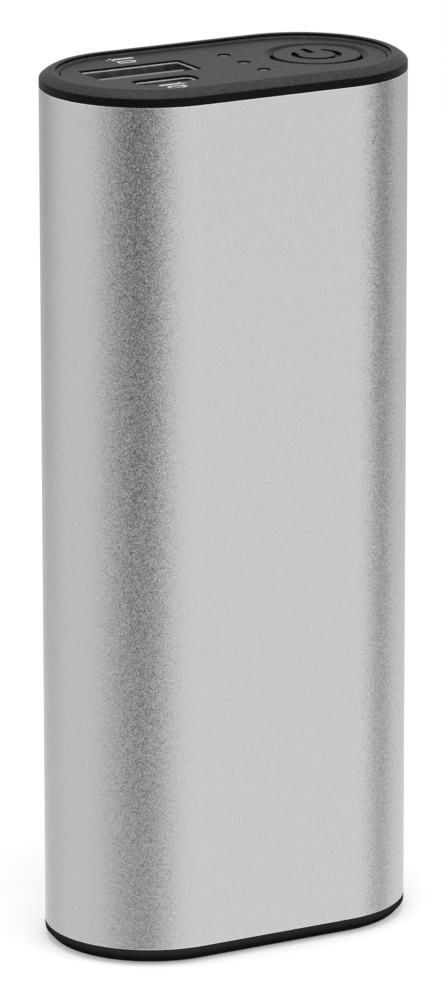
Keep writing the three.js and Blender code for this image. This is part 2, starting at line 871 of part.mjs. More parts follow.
// Screw: pan head up, with z measured from the underside of its head
function screwGeometry() {
  const round = screwHeadHeight / 3;
  const blank = turned([
    [0, -screwLength + screwShank],
    [screwShank, 2 * screwShank - screwLength],
    [screwShank, 0],
    [screwHeadRadius, 0],
    [screwHeadRadius, screwHeadHeight - round],
    [screwHeadRadius - round, screwHeadHeight],
    [0, screwHeadHeight],
  ], smallSteps);
  const floor = screwHeadHeight - crossDepth;
  return cut(
    blank,
    block(crossLength, crossWidth, crossDepth + overrun, 0, 0, floor),
    block(crossWidth, crossLength, crossDepth + overrun, 0, 0, floor),
  );
}

const filmGeometry = () => block(filmWidth, filmThickness, filmLength);

const foamDepth = innerWallY - filmThickness - trayHalfDepth - foamGap;
const foamLength = filmLength - foamLift - foamHeadroom;
const foamGeometry = () => block(filmWidth - 2 * foamEdgeGap, foamDepth, foamLength);

// Leads, in the body's own frame
const negativeLeadGeometry = () => wire([
  [0, negativeLeadY, cellZ],
  [0, negativeLeadY, trayTop + negativeLeadEnd],
], leadRadius, leadBend, 1);

function positiveLeadGeometry() {
  const face = boardRear + leadRadius + leadSeat;
  const foot = cellTop + stripThickness;
  return wire([[0, face, foot], [0, face, trayTop + positiveLeadEnd]], leadRadius, leadBend, 1);
}

function sensorLeadGeometry() {
  const face = boardRear + sensorLeadRadius + leadSeat;
  return wire([
    [0, sensorY, sensorZ + sensorLength],
    [0, sensorY, trayTop],
    [sensorLeadX, face, trayTop + sensorLeadRise],
    [sensorLeadX, face, trayTop + sensorLeadRise + leadEnd],
  ], sensorLeadRadius, leadBend / 2, leadSteps);
}

function heaterLeadGeometry(side) {
  const wallY = innerWallY - filmThickness - heaterLeadRadius - leadSeat;
  const board = side > 0 ? boardRear : boardFront;
  const face = board + side * (heaterLeadRadius + leadSeat);
  const filmTop = filmFoot + filmLength;
  const turn = Math.max(filmTop, trayTop) + leadBend;
  return wire([
    [0, side * wallY, filmTop - heaterLeadOverlap],
    [0, side * wallY, turn],
    [0, face, turn + heaterLeadRise],
    [0, face, turn + heaterLeadRise + heaterLeadEnd],
  ], heaterLeadRadius, leadBend / 2, leadSteps);
}

function sensorGeometry() {
  const shoulder = sensorRadius / 2;
  return turned([
    [0, 0],
    [shoulder, 0],
    [sensorRadius, shoulder],
    [sensorRadius, sensorLength - shoulder],
    [shoulder, sensorLength],
    [0, sensorLength],
  ], smallSteps);
}

// Assembly
function mesh(name, geometry, finish, x = 0, y = 0, z = 0) {
  const piece = new THREE.Mesh(geometry, finish);
  piece.name = name;
  piece.position.set(x, y, z);
  return piece;
}

function casing() {
  const group = new THREE.Group();
  group.add(
    mesh('body_sleeve', sleeveGeometry(), anodised(), 0, 0, bottomSeam),
    mesh('top_cap', topCapGeometry(), capPlastic(), 0, 0, topSeam),
    mesh('face_plate', facePlateGeometry(), platePlastic(), 0, 0, pocketZ),
    mesh('bottom_cap', bottomCapGeometry(), capPlastic()),
    mesh('base_pad', basePadGeometry(), rubber()),
  );
  for (const [place, side] of [['front', -1], ['rear', 1]]) {
    const seat = pocketZ - screwHeadSink - screwHeadHeight + screwSeat;
    group.add(mesh(`top_screw_${place}`, screwGeometry(), steel(), 0, side * screwY, seat));
    const base = mesh(`bottom_screw_${place}`, screwGeometry(), steel(), 0, side * screwY,
      padThickness + screwHeadSink + screwHeadHeight - screwSeat);
    base.rotation.x = Math.PI;
    group.add(base);
  }
  return group;
}

function buttonGroup() {
  const group = new THREE.Group();
  group.position.x = buttonX;
  const coverFoot = buttonBoardTop + switchBodyHeight;
  group.add(
    mesh('power_button', powerButtonGeometry(), buttonPlastic(), 0, 0, stemBottom),
    mesh('switch_plunger', plungerGeometry(), chipPlastic(), 0, 0, buttonBoardTop),
    mesh('switch_body', switchBodyGeometry(), chipPlastic(), 0, 0, buttonBoardTop),
    mesh('switch_cover', switchCoverGeometry(), steel(), 0, 0, coverFoot),
  );
  return group;
}

function lights() {
  const group = new THREE.Group();
  group.position.x = ledX;
  const foot = buttonBoardTop + ledHeight + ledAirGap;
  group.add(mesh('light_guide', lightGuideGeometry(), clearPlastic(), 0, 0, foot));
  for (const row of [-1, 0, 1]) {
    const led = block(ledLength, ledWidth, ledHeight);
    group.add(mesh(`indicator_led_${row + 2}`, led, clearPlastic(), 0, row * ledPitch, buttonBoardTop));
  }
  return group;
}

function usbSocket() {
  const group = new THREE.Group();
  group.position.set(usbX, usbY, usbFoot);
  const tongueRear = usbTongueOffset + usbTongueDepth - (usbDepth / 2 - usbWall);
  const tongueTop = usbLength - usbTongueSink;
  group.add(
    mesh('usb_a_shell', usbShellGeometry(), steel()),
    mesh('usb_a_tongue', usbTongueGeometry(), socketPlastic()),
  );
  usbContactPlaceShares.forEach((share, i) => {
    const width = usbContactWidthShare * usbTongueWidth;
    const strip = contactGeometry(width, usbContactDepth, usbBase, tongueTop);
    const y = tongueRear + usbContactDepth / 2;
    group.add(mesh(`usb_a_contact_${i + 1}`, strip, gold(), share * usbTongueWidth, y));
  });
  return group;
}

function microSocket() {
  const group = new THREE.Group();
  group.position.set(microX, microY, faceZ - microSink - microLength);
  group.add(
    mesh('micro_usb_shell', microShellGeometry(), steel()),
    mesh('micro_usb_tongue', microTongueGeometry(), socketPlastic()),
  );
  const tongueTop = microLength - microTongueSink;
  for (let i = 0; i < microContactCount; i += 1) {
    const width = microContactWidthShare * microTongueWidth;
    const strip = contactGeometry(width, microContactDepth, microBase, tongueTop);
    const x = (i - (microContactCount - 1) / 2) * microContactPitchShare * microTongueWidth;
    const y = (microTongueDepth + microContactDepth) / 2;
    group.add(mesh(`micro_usb_contact_${i + 1}`, strip, gold(), x, y));
  }
  return group;
}

function boards() {
  const group = new THREE.Group();
  const front = (height) => boardFront - partSeat - height / 2;
  const rear = (height) => boardRear + partSeat + height / 2;
  group.add(
    mesh('main_board', mainBoardGeometry(), circuitBoard(), 0, boardY, boardFoot),
    mesh('button_board', buttonBoardGeometry(), circuitBoard(), 0, 0, buttonBoardZ),
    mesh('power_inductor', inductorGeometry(), ferrite(), usbX, front(inductorHeight),
      boardFoot + inductorRise),
    mesh('charger_chip', chipGeometry(), chipPlastic(), usbX, front(chipHeight), boardFoot + chargerRise),
    mesh('boost_chip', chipGeometry(), chipPlastic(), boostPlaceShare * bodyWidth, rear(chipHeight),
      boardFoot + boostRise),
    mesh('heater_transistor', transistorGeometry(), chipPlastic(), transistorPlaceShare * bodyWidth,
      front(transistorHeight), boardFoot + transistorRise),
  );
  const first = railWidth - railOuter + capacitorRailRoom + capacitorRadius;
  for (let i = 0; i < capacitorCount; i += 1) {
    const x = first + i * capacitorPitchShare * bodyWidth;
    group.add(mesh(`output_capacitor_${i + 1}`, capacitorGeometry(), nickel(), x, rear(capacitorHeight),
      boardFoot + capacitorRise));
  }
  return group;
}

function battery() {
  const group = new THREE.Group();
  for (const [place, end] of [['left', -1], ['right', 1]]) {
    const cell = new THREE.Group();
    cell.position.set(end * cellSpacing / 2, 0, cellZ);
    cell.add(
      mesh(`battery_cell_${place}`, cellGeometry(), cellWrap()),
      mesh(`cell_terminal_${place}`, terminalGeometry(), nickel(), 0, 0, cellCanLength),
      mesh(`cell_insulator_${place}`, insulatorGeometry(), insulatorPaper(), 0, 0, cellCanLength),
    );
    group.add(cell);
  }
  group.add(
    mesh('nickel_strip_top', topStripGeometry(), nickel(), 0, 0, cellTop),
    mesh('nickel_strip_bottom', bottomStripGeometry(), nickel(), 0, 0, cellZ - stripThickness),
    mesh('battery_lead_negative', negativeLeadGeometry(), blackLead()),
    mesh('battery_lead_positive', positiveLeadGeometry(), redLead()),
    mesh('thermistor', sensorGeometry(), sensorGlass(), 0, sensorY, sensorZ),
    mesh('thermistor_lead', sensorLeadGeometry(), whiteLead()),
  );
  return group;
}

function heaters() {
  const group = new THREE.Group();
  for (const [place, side] of [['front', -1], ['rear', 1]]) {
    const filmY = side * (innerWallY - filmThickness / 2);
    const foamY = side * (innerWallY - filmThickness - foamDepth / 2);
    group.add(
      mesh(`heater_film_${place}`, filmGeometry(), heaterFilm(), 0, filmY, filmFoot),
      mesh(`foam_pad_${place}`, foamGeometry(), foam(), 0, foamY, filmFoot + foamLift),
      mesh(`heater_lead_${place}`, heaterLeadGeometry(side), whiteLead(), heaterLeadPlaceShare * bodyWidth),
    );
  }
  return group;
}

function tray() {
  const group = new THREE.Group();
  group.position.z = trayZ;
  group.add(
    mesh('cell_tray_front', trayFrontGeometry(), trayPlastic()),
    mesh('cell_tray_rear', trayRearGeometry(), trayPlastic()),
  );
  return group;
}

const handWarmer = new THREE.Group();
handWarmer.name = 'hand_warmer';
handWarmer.add(
  casing(),
  buttonGroup(),
  lights(),
  usbSocket(),
  microSocket(),
  boards(),
  battery(),
  heaters(),
  tray(),
);

export default handWarmer;
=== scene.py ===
from math import hypot, pi, radians

import bmesh
import bpy
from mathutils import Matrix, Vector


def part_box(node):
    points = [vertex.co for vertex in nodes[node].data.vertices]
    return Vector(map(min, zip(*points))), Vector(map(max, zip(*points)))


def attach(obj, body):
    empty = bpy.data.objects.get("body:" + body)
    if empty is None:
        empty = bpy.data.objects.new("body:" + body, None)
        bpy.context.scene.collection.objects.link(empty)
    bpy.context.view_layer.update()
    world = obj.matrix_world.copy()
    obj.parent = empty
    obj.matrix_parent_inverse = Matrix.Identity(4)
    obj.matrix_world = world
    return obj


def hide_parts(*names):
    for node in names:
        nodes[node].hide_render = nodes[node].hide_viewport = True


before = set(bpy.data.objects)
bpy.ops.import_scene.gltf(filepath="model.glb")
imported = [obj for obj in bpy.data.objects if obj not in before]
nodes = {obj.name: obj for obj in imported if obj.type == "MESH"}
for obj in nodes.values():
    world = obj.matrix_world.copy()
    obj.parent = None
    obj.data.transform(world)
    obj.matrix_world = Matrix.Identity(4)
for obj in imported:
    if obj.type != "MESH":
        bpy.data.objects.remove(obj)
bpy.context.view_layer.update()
mm = 0.001


# Camera
# It stands off the left of the broad front, a little above the top face, and a long lens keeps the
# upright edges nearly parallel, so the whole warmer fills a tall frame.
lens = bpy.data.cameras.new("camera")
lens.lens = 260.53
lens.clip_start = 0.05
lens.clip_end = 20
camera = bpy.data.objects.new("camera", lens)
camera.location = (-0.40026, -0.71227, 0.27427)
camera.rotation_euler = (radians(74.75), radians(0.078), radians(-29.332))
bpy.context.collection.objects.link(camera)
bpy.context.scene.camera = camera
bpy.context.scene.view_settings.view_transform = "Standard"


# Studio
# A pale floor in a white room, with a soft lamp overhead and one on either side in front. The metal
# mirrors a ring of diffusers and flags that stands round the table, which the camera and matt surfaces
# don't see.
room_level = 0.5
floor_radius = 0.45
world = bpy.data.worlds.new("white_room")
bpy.context.scene.world = world
world.use_nodes = True
room = world.node_tree
path = room.nodes.new("ShaderNodeLightPath")
mirrored = room.nodes.new("ShaderNodeMath")
mirrored.operation = "MAXIMUM"
seen = room.nodes.new("ShaderNodeMath")
seen.operation = "MAXIMUM"
level = room.nodes.new("ShaderNodeMapRange")
level.inputs["To Min"].default_value = room_level
room.links.new(path.outputs["Is Glossy Ray"], mirrored.inputs[0])
room.links.new(path.outputs["Is Transmission Ray"], mirrored.inputs[1])
room.links.new(path.outputs["Is Camera Ray"], seen.inputs[0])
room.links.new(mirrored.outputs[0], seen.inputs[1])
room.links.new(seen.outputs[0], level.inputs["Value"])
room.links.new(level.outputs["Result"], room.nodes["Background"].inputs["Strength"])
room.nodes["Background"].inputs["Color"].default_value = (1, 1, 1, 1)

for name, watts, size, place, turn in [
    ("overhead_lamp", 5.4, 0.7, (-0.1, -0.1, 1.5), (0, -4, 0)),
    ("left_lamp", 4.2, 0.9, (-0.65, -1.1, 1.0), (0, -52, 60)),
    ("right_lamp", 3.4, 0.9, (0.65, -1.05, 1.0), (0, 52, -58)),
]:
    light = bpy.data.lights.new(name, "AREA")
    light.energy = watts
    light.size = size
    lamp = bpy.data.objects.new(name, light)
    lamp.location = place
    lamp.rotation_euler = [radians(angle) for angle in turn]
    lamp.visible_glossy = name == "overhead_lamp"
    bpy.context.collection.objects.link(lamp)

bpy.ops.object.select_all(action="DESELECT")
bpy.ops.mesh.primitive_circle_add(vertices=96, radius=floor_radius, fill_type="NGON", location=(0, 0, 0))
floor = bpy.context.object
floor.name = "floor"
floor.visible_glossy = False
paper = bpy.data.materials.new("floor_paper")
paper.use_nodes = True
sheet = paper.node_tree.nodes["Principled BSDF"]
sheet.inputs["Base Color"].default_value = (0.94, 0.94, 0.94, 1)
sheet.inputs["Roughness"].default_value = 0.9
sheet.inputs["Specular IOR Level"].default_value = 0.0
sheet.inputs["Emission Color"].default_value = (1, 1, 1, 1)
eye = paper.node_tree.nodes.new("ShaderNodeLightPath")
lift = paper.node_tree.nodes.new("ShaderNodeMapRange")
lift.inputs["To Max"].default_value = 0.3
paper.node_tree.links.new(eye.outputs["Is Camera Ray"], lift.inputs["Value"])
paper.node_tree.links.new(lift.outputs["Result"], sheet.inputs["Emission Strength"])
floor.data.materials.append(paper)

# What the ring shows at each compass bearing, in degrees from +X towards +Y: its level above the table's
# height, and its level below it, where pale card lies between the flags
ring_levels = [
    (-180, 0.8, 0.8),
    (-140, 0.1, 0.6),
    (-120, 0.1, 0.6),
    (-90, 0.9, 0.9),
    (-45, 0.9, 1.0),
    (-20, 0.1, 0.6),
    (0, 0.6, 0.9),
    (80, 0.6, 0.9),
    (100, 0.4, 0.7),
    (140, 0.8, 0.8),
    (180, 0.8, 0.8),
]
ring_radius = 1.0
ring_height = 2.4
# Between these heights, in metres, the upper levels change into the lower ones
flags_foot = -0.10
card_top = -0.33

bpy.ops.object.select_all(action="DESELECT")
bpy.ops.mesh.primitive_cylinder_add(
    vertices=96,
    radius=ring_radius,
    depth=ring_height,
    end_fill_type="NOTHING",
)
ring = bpy.context.object
ring.name = "diffuser_ring"
ring.visible_camera = False
ring.visible_diffuse = False
ring.visible_shadow = False
ring.visible_transmission = False
cloth = bpy.data.materials.new("diffuser_cloth")
cloth.use_nodes = True
weave = cloth.node_tree.nodes
links = cloth.node_tree.links
weave.remove(weave["Principled BSDF"])
glow = weave.new("ShaderNodeEmission")
place = weave.new("ShaderNodeTexCoord")
axes = weave.new("ShaderNodeSeparateXYZ")
bearing = weave.new("ShaderNodeMath")
bearing.operation = "ARCTAN2"
turn = weave.new("ShaderNodeMapRange")
turn.inputs["From Min"].default_value = -pi
turn.inputs["From Max"].default_value = pi
sink = weave.new("ShaderNodeMapRange")
sink.inputs["From Min"].default_value = flags_foot
sink.inputs["From Max"].default_value = card_top
blend = weave.new("ShaderNodeMix")
blend.data_type = "RGBA"
links.new(place.outputs["Object"], axes.inputs[0])
links.new(axes.outputs["Y"], bearing.inputs[0])
links.new(axes.outputs["X"], bearing.inputs[1])
links.new(bearing.outputs[0], turn.inputs["Value"])
links.new(axes.outputs["Z"], sink.inputs["Value"])
for column, socket in ((1, "A"), (2, "B")):
    shades = weave.new("ShaderNodeValToRGB")
    stops = shades.color_ramp.elements
    while len(stops) < len(ring_levels):
        stops.new(0.5)
    for stop, row in zip(stops, ring_levels):
        stop.position = (row[0] + 180) / 360
        stop.color = (row[column], row[column], row[column], 1)
    links.new(turn.outputs["Result"], shades.inputs["Fac"])
    links.new(shades.outputs["Color"], blend.inputs[socket])
links.new(sink.outputs["Result"], blend.inputs["Factor"])
links.new(blend.outputs["Result"], glow.inputs["Color"])
links.new(glow.outputs[0], weave["Material Output"].inputs["Surface"])
ring.data.materials.append(cloth)


# Sleeve
# A length of extruded aluminium tube with two flat sides and round ends. It is bead blasted and then
# anodised clear, which leaves a fine silver grain, and both ends are deburred.
def box_mm(name):
    """The lowest and highest corner of a CAD node, in mm."""
    low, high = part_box(name)
    return low / mm, high / mm


tube_low, tube_high = box_mm("body_sleeve")
bottom_seam = tube_low.z
top_seam = tube_high.z
body_width = tube_high.x - tube_low.x
body_depth = tube_high.y - tube_low.y
flat_half = (body_width - body_depth) / 2
sleeve_wall = 1.2
edge_chamfer = 0.15
inner_chamfer = 0.06
outline_steps = 28


def rounded_face(name, width, depth, corner, height, x=0, y=0, steps=8):
    """Adds one flat rectangle with round corners, in mm, and opens it in edit mode."""
    bpy.ops.object.select_all(action="DESELECT")
    bpy.ops.mesh.primitive_plane_add(size=1, location=(x * mm, y * mm, height * mm))
    piece = bpy.context.object
    piece.name = name
    piece.scale = (width * mm, depth * mm, 1)
    bpy.ops.object.transform_apply(location=True, rotation=True, scale=True)
    bpy.ops.object.mode_set(mode="EDIT")
    bpy.ops.mesh.select_all(action="SELECT")
    bpy.ops.mesh.bevel(offset=corner * mm, segments=steps, affect="VERTICES", clamp_overlap=False)
    bpy.ops.mesh.select_all(action="SELECT")
    bpy.ops.mesh.remove_doubles(threshold=0.002 * mm)
    bpy.ops.mesh.select_mode(type="FACE")
    bpy.ops.mesh.select_all(action="SELECT")
    return piece


def body_outline(name, inset, height):
    """Adds one flat face with the body's outline, drawn in by an inset, and opens it in edit mode."""
    depth = body_depth - 2 * inset
    return rounded_face(name, body_width - 2 * inset, depth, depth / 2, height, steps=outline_steps)


def step(inset, rise):
    """Draws the selected face in by an inset and moves it up or down."""
    if inset:
        bpy.ops.mesh.inset(thickness=inset * mm)
        bpy.ops.transform.translate(value=(0, 0, rise * mm))
    else:
        bpy.ops.mesh.extrude_region_move(TRANSFORM_OT_translate={"value": (0, 0, rise * mm)})


def pick_faces(piece, test):
    """Selects the faces whose centre, in mm, and normal pass a test."""
    bpy.ops.mesh.select_mode(type="FACE")
    bpy.ops.mesh.select_all(action="DESELECT")
    mesh = bmesh.from_edit_mesh(piece.data)
    for face in mesh.faces:
        face.select_set(test(face.calc_center_median() / mm, face.normal))
    mesh.select_flush_mode()
    bmesh.update_edit_mesh(piece.data)


def pick_edges(piece, test):
    """Selects the edges whose two ends, in mm, pass a test."""
    bpy.ops.mesh.select_mode(type="EDGE")
    bpy.ops.mesh.select_all(action="DESELECT")
    mesh = bmesh.from_edit_mesh(piece.data)
    for edge in mesh.edges:
        edge.select_set(all(test(vertex.co / mm) for vertex in edge.verts))
    bmesh.update_edit_mesh(piece.data)


def inset_of(point):
    """How far inside the body's outline a point lies, in mm."""
    return body_depth / 2 - hypot(max(abs(point.x) - flat_half, 0), point.y)


def at_height(height, least_inset=-1, most_inset=99):
    """A test for points at one height, no nearer and no further from the body's outline than two insets."""
    return lambda point: abs(point.z - height) < 0.01 and least_inset < inset_of(point) < most_inset


def round_off(piece, test, width, segments=3, clamp=True):
    """Rounds off the edges whose two ends pass a test."""
    pick_edges(piece, test)
    bpy.ops.mesh.bevel(offset=width * mm, segments=segments, affect="EDGES", clamp_overlap=clamp)


def apply_modifier(piece, kind, **settings):
    """Puts one modifier on a piece and applies it."""
    bpy.context.view_layer.objects.active = piece
    modifier = piece.modifiers.new(kind.lower(), kind)
    for key, value in settings.items():
        setattr(modifier, key, value)
    bpy.ops.object.modifier_apply(modifier=modifier.name)


def close_piece(piece, material, body, replaced):
    """Turns all faces outwards, smooths the round ones, and puts the piece on its body."""
    smooth_angle = 32
    bpy.ops.object.mode_set(mode="OBJECT")
    bpy.ops.object.select_all(action="DESELECT")
    piece.select_set(True)
    bpy.context.view_layer.objects.active = piece
    bpy.ops.object.mode_set(mode="EDIT")
    bpy.ops.mesh.select_all(action="SELECT")
    bpy.ops.mesh.normals_make_consistent(inside=False)
    bpy.ops.object.mode_set(mode="OBJECT")
    bpy.ops.object.shade_smooth_by_angle(angle=radians(smooth_angle))
    apply_modifier(piece, "WEIGHTED_NORMAL", keep_sharp=True, weight=100)
    piece.data.materials.clear()
    piece.data.materials.append(material)
    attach(piece, body)
    if replaced:
        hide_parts(*replaced)


# Height is the fine relief of a blasted, sanded or moulded face, and Tone is its slow change over the face
grain = bpy.data.node_groups.new("surface_grain", "ShaderNodeTree")
for label in ("Fineness", "Patches"):
    grain.interface.new_socket(label, in_out="INPUT", socket_type="NodeSocketFloat")
for label in ("Height", "Tone"):
    grain.interface.new_socket(label, in_out="OUTPUT", socket_type="NodeSocketFloat")
grain_in = grain.nodes.new("NodeGroupInput")
grain_out = grain.nodes.new("NodeGroupOutput")
grain_place = grain.nodes.new("ShaderNodeTexCoord")
relief = grain.nodes.new("ShaderNodeTexNoise")
relief.inputs["Detail"].default_value = 2.0
relief.inputs["Roughness"].default_value = 0.6
patches = grain.nodes.new("ShaderNodeTexNoise")
patches.inputs["Detail"].default_value = 3.0
grain.links.new(grain_place.outputs["Object"], relief.inputs["Vector"])
grain.links.new(grain_place.outputs["Object"], patches.inputs["Vector"])
grain.links.new(grain_in.outputs["Fineness"], relief.inputs["Scale"])
grain.links.new(grain_in.outputs["Patches"], patches.inputs["Scale"])
grain.links.new(relief.outputs["Fac"], grain_out.inputs["Height"])
grain.links.new(patches.outputs["Fac"], grain_out.inputs["Tone"])


# Each dimple of a blasted or sparked face leans its own way, so the face sparkles where it mirrors an edge
# between light and dark
dimples = bpy.data.node_groups.new("blasted_dimples", "ShaderNodeTree")
for label, kind, direction in [
    ("Fineness", "NodeSocketFloat", "INPUT"),
    ("Tilt", "NodeSocketFloat", "INPUT"),
    ("Normal", "NodeSocketVector", "OUTPUT"),
]:
    dimples.interface.new_socket(label, in_out=direction, socket_type=kind)
dimple_in = dimples.nodes.new("NodeGroupInput")
dimple_out = dimples.nodes.new("NodeGroupOutput")
dimple_place = dimples.nodes.new("ShaderNodeTexCoord")
cells = dimples.nodes.new("ShaderNodeTexVoronoi")
middle = dimples.nodes.new("ShaderNodeVectorMath")
middle.operation = "SUBTRACT"
middle.inputs[1].default_value = (0.5, 0.5, 0.5)
lean = dimples.nodes.new("ShaderNodeVectorMath")
lean.operation = "SCALE"
tilted = dimples.nodes.new("ShaderNodeVectorMath")
unit = dimples.nodes.new("ShaderNodeVectorMath")
unit.operation = "NORMALIZE"
facing = dimples.nodes.new("ShaderNodeNewGeometry")
dimples.links.new(dimple_place.outputs["Object"], cells.inputs["Vector"])
dimples.links.new(dimple_in.outputs["Fineness"], cells.inputs["Scale"])
dimples.links.new(cells.outputs["Color"], middle.inputs[0])
dimples.links.new(middle.outputs["Vector"], lean.inputs[0])
dimples.links.new(dimple_in.outputs["Tilt"], lean.inputs["Scale"])
dimples.links.new(lean.outputs["Vector"], tilted.inputs[0])
dimples.links.new(facing.outputs["Normal"], tilted.inputs[1])
dimples.links.new(tilted.outputs["Vector"], unit.inputs[0])
dimples.links.new(unit.outputs["Vector"], dimple_out.inputs["Normal"])


def grained(name, colors, roughness, fineness, patches, depth=0, tilt=0, metallic=0.0, specular=0.5):
    """A finish between two colours and two roughnesses, with relief of a depth in micrometres or with
    dimples of a tilt."""
    material = bpy.data.materials.new(name)
    material.use_nodes = True
    tree = material.node_tree
    shader = tree.nodes["Principled BSDF"]
    shader.inputs["Metallic"].default_value = metallic
    shader.inputs["Specular IOR Level"].default_value = specular
    texture = tree.nodes.new("ShaderNodeGroup")
    texture.node_tree = grain
    texture.inputs["Fineness"].default_value = fineness
    texture.inputs["Patches"].default_value = patches
    spread = tree.nodes.new("ShaderNodeMapRange")
    spread.inputs["From Min"].default_value = 0.35
    spread.inputs["From Max"].default_value = 0.65
    mix = tree.nodes.new("ShaderNodeMix")
    mix.data_type = "RGBA"
    mix.inputs["A"].default_value = (*colors[0], 1)
    mix.inputs["B"].default_value = (*colors[1], 1)
    gloss = tree.nodes.new("ShaderNodeMapRange")
    gloss.inputs["To Min"].default_value = roughness[0]
    gloss.inputs["To Max"].default_value = roughness[1]
    tree.links.new(texture.outputs["Tone"], spread.inputs["Value"])
    tree.links.new(spread.outputs["Result"], mix.inputs["Factor"])
    tree.links.new(spread.outputs["Result"], gloss.inputs["Value"])
    tree.links.new(mix.outputs["Result"], shader.inputs["Base Color"])
    tree.links.new(gloss.outputs["Result"], shader.inputs["Roughness"])
    if tilt:
        relief = tree.nodes.new("ShaderNodeGroup")
        relief.node_tree = dimples
        relief.inputs["Fineness"].default_value = fineness
        relief.inputs["Tilt"].default_value = tilt
    else:
        relief = tree.nodes.new("ShaderNodeBump")
        relief.inputs["Strength"].default_value = 1.0
        relief.inputs["Distance"].default_value = depth * mm / 1000
        tree.links.new(texture.outputs["Height"], relief.inputs["Height"])
    tree.links.new(relief.outputs["Normal"], shader.inputs["Normal"])
    return material


blasted_aluminium = grained(
    "blasted_aluminium",
    colors=[(0.592, 0.592, 0.592), (0.678, 0.678, 0.678)],
    roughness=(0.21, 0.24),
    fineness=11000,
    patches=7000,
    tilt=0.22,
    metallic=1.0,
)


def band_mask(tree, from_z, to_z):
    """A value that changes from 0 to 1 between two heights, in mm."""
    place = tree.nodes.new("ShaderNodeTexCoord")
    axes = tree.nodes.new("ShaderNodeSeparateXYZ")
    change = tree.nodes.new("ShaderNodeMapRange")
    change.inputs["From Min"].default_value = from_z * mm
    change.inputs["From Max"].default_value = to_z * mm
    tree.links.new(place.outputs["Object"], axes.inputs[0])
    tree.links.new(axes.outputs["Z"], change.inputs["Value"])
    return change.outputs["Result"]


def tint_where(material, mask, colors):
    """Gives a finish two other colours where a mask is 1."""
    tree = material.node_tree
    shader = tree.nodes["Principled BSDF"]
    under = shader.inputs["Base Color"].links[0].from_socket
    speckle = tree.nodes.new("ShaderNodeMix")
    speckle.data_type = "RGBA"
    speckle.inputs["A"].default_value = (*colors[0], 1)
    speckle.inputs["B"].default_value = (*colors[1], 1)
    tree.links.new(tree.nodes["Map Range"].outputs["Result"], speckle.inputs["Factor"])
    mix = tree.nodes.new("ShaderNodeMix")
    mix.data_type = "RGBA"
    tree.links.new(speckle.outputs["Result"], mix.inputs["B"])
    tree.links.new(mask, mix.inputs["Factor"])
    tree.links.new(under, mix.inputs["A"])
    tree.links.new(mix.outputs["Result"], shader.inputs["Base Color"])


# Painted highlight: the chamfered cut ends are given a brighter colour than the blasted wall, for the bright
# line along both seams
painted_edge_highlight = [(0.84, 0.84, 0.84), (0.88, 0.88, 0.88)]
for end, inward in ((bottom_seam, edge_chamfer), (top_seam, -edge_chamfer)):
    edge_highlight_band = band_mask(blasted_aluminium.node_tree, end + inward * 1.1, end + inward)
    tint_where(blasted_aluminium, edge_highlight_band, painted_edge_highlight)

sleeve = body_outline("sleeve_tube", 0, bottom_seam)
step(0, top_seam - bottom_seam)
pick_faces(sleeve, lambda centre, normal: abs(normal.z) > 0.9)
bpy.ops.mesh.delete(type="ONLY_FACE")
bpy.ops.mesh.select_all(action="SELECT")
bpy.ops.mesh.normals_make_consistent(inside=False)
bpy.ops.object.mode_set(mode="OBJECT")
apply_modifier(sleeve, "SOLIDIFY", thickness=sleeve_wall * mm, offset=-1, use_even_offset=True)
bpy.ops.object.mode_set(mode="EDIT")
for end in (bottom_seam, top_seam):
    round_off(sleeve, at_height(end, most_inset=0.1), edge_chamfer)
    round_off(sleeve, at_height(end, least_inset=sleeve_wall - 0.1), inner_chamfer, 1)
close_piece(sleeve, blasted_aluminium, "case", ["body_sleeve"])


# Top cap
# One black moulding that plugs into the sleeve. Its rim rises in a plain band and a slope to a narrow
# crest, then falls inside to a ledge and a shallow pocket for the face plate.
crest_z = box_mm("top_cap")[1].z
pocket_z = box_mm("face_plate")[0].z
face_z = box_mm("face_plate")[1].z
screw_y = abs((box_mm("top_screw_front")[0].y + box_mm("top_screw_front")[1].y) / 2)
rim_band = 1.0
rim_rise = crest_z - top_seam
knee_inset = 0.54
knee_rise = rim_band + 0.475
crest_inset = 1.2
rim_inner = 1.9
face_rise = face_z - top_seam
ledge_rise = face_rise + 0.17
pocket_inset = 2.35
plate_thickness = face_z - pocket_z
cap_floor = 1.5
floor_foot = pocket_z - cap_floor
skirt_inset = 1.35
skirt_inner = 2.55
skirt_depth = 6.0
skirt_lead = 0.3
boss_radius = 2.4
boss_depth = 2.0
shank_hole = 1.1
head_hole = 1.95
head_room = 1.3
# A cutter starts below the floor and ends just over the pocket's face
cutter_foot = pocket_z - 3
cutter_top = pocket_z + 0.3

moulded_black = grained(
    "moulded_black",
    colors=[(0.0035, 0.0035, 0.0036), (0.0055, 0.0055, 0.0056)],
    roughness=(0.36, 0.44),
    fineness=6000,
    patches=4600,
    tilt=0.1,
    specular=0.08,
)


def upright_rod(radius, low, high, x=0, y=0, sides=48, top_radius=None):
    """Adds a rod or a cone between two heights, in mm."""
    bpy.ops.object.select_all(action="DESELECT")
    bpy.ops.mesh.primitive_cone_add(
        vertices=sides,
        radius1=radius * mm,
        radius2=(radius if top_radius is None else top_radius) * mm,
        depth=(high - low) * mm,
        location=(x * mm, y * mm, (low + high) / 2 * mm),
    )
    bpy.ops.object.transform_apply(location=True, rotation=True, scale=True)
    return bpy.context.object


def upright_slot(width, depth, corner, low, high, x, y, steps=8):
    """Adds a block with rounded upright edges between two heights, in mm."""
    block = rounded_face("block", width, depth, corner, low, x, y, steps)
    step(0, high - low)
    bpy.ops.mesh.select_all(action="SELECT")
    bpy.ops.mesh.normals_make_consistent(inside=False)
    bpy.ops.object.mode_set(mode="OBJECT")
    return block


def cut_out(piece, tool, operation="DIFFERENCE"):
    """Takes one solid out of a piece, or adds it, and removes the tool."""
    apply_modifier(piece, "BOOLEAN", object=tool, operation=operation, solver="EXACT")
    bpy.data.objects.remove(tool)


